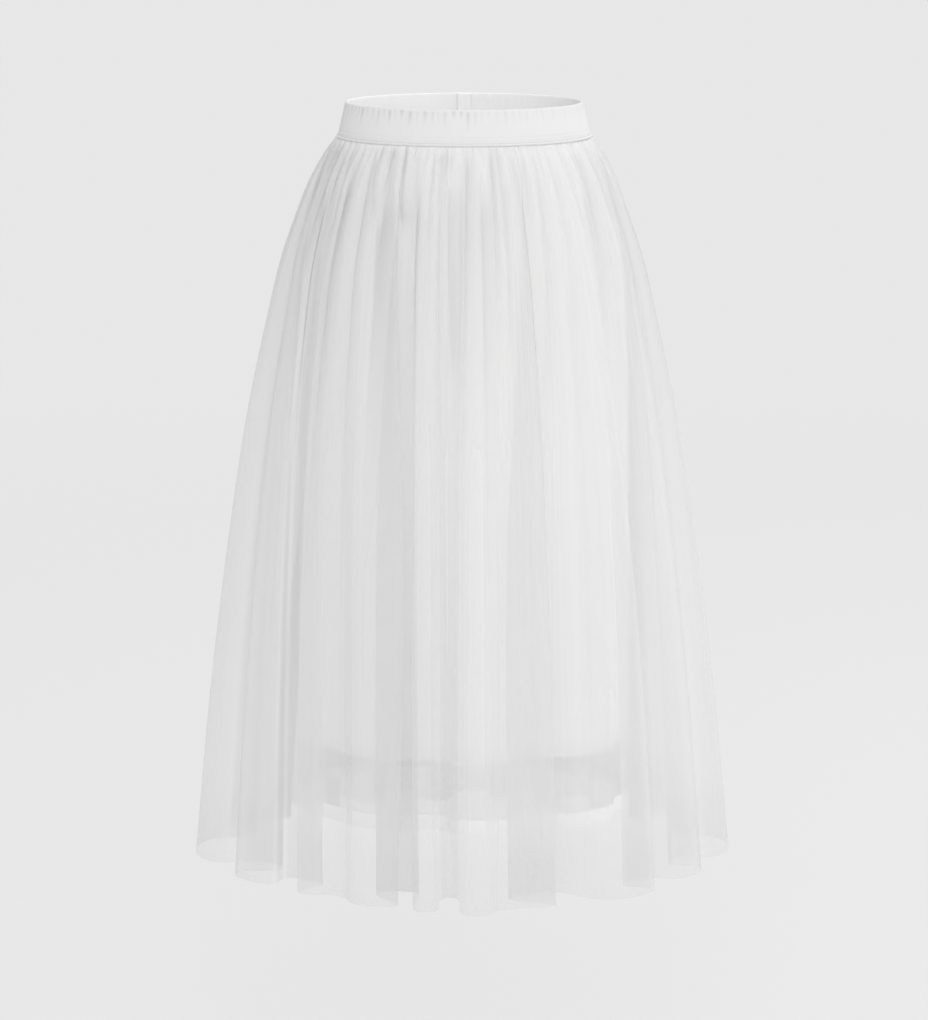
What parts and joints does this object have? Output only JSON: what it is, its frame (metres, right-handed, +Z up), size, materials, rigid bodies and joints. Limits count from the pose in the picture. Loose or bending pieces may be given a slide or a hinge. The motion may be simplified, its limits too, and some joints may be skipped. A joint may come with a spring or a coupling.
{
  "type": "tulle skirt",
  "caption": "Gathered midi skirt of sheer tulle over a mesh underskirt and an opaque lining, on a plain elastic waistband, filled out as when worn with nobody in it.",
  "frame": {"origin": "middle of the waist, half way up the waistband, where the wearer's waist holds the skirt", "axes": "+Z up, the front of the skirt faces -Y, +X to the right as seen from the front"},
  "size_m": [0.5699, 0.5059, 0.799],
  "materials": {
    "elastic_knit": "close white elastic knit, matt with a soft sheen",
    "tulle": "fine sheer white net, denser where it turns away or doubles",
    "soft_mesh": "soft white mesh, half see-through, with a doubled hem",
    "lining_knit": "smooth opaque white lining with a slight sheen"
  },
  "bodies": {
    "root": {"waistband": "elastic_knit", "waist_seam_cord": "elastic_knit", "waistband_back_join": "elastic_knit", "tulle_overlay_front": "tulle", "tulle_overlay_back": "tulle", "mesh_underskirt_front": "soft_mesh", "mesh_underskirt_back": "soft_mesh", "lining_front": "lining_knit", "lining_back": "lining_knit"}
  },
  "joints": []
}
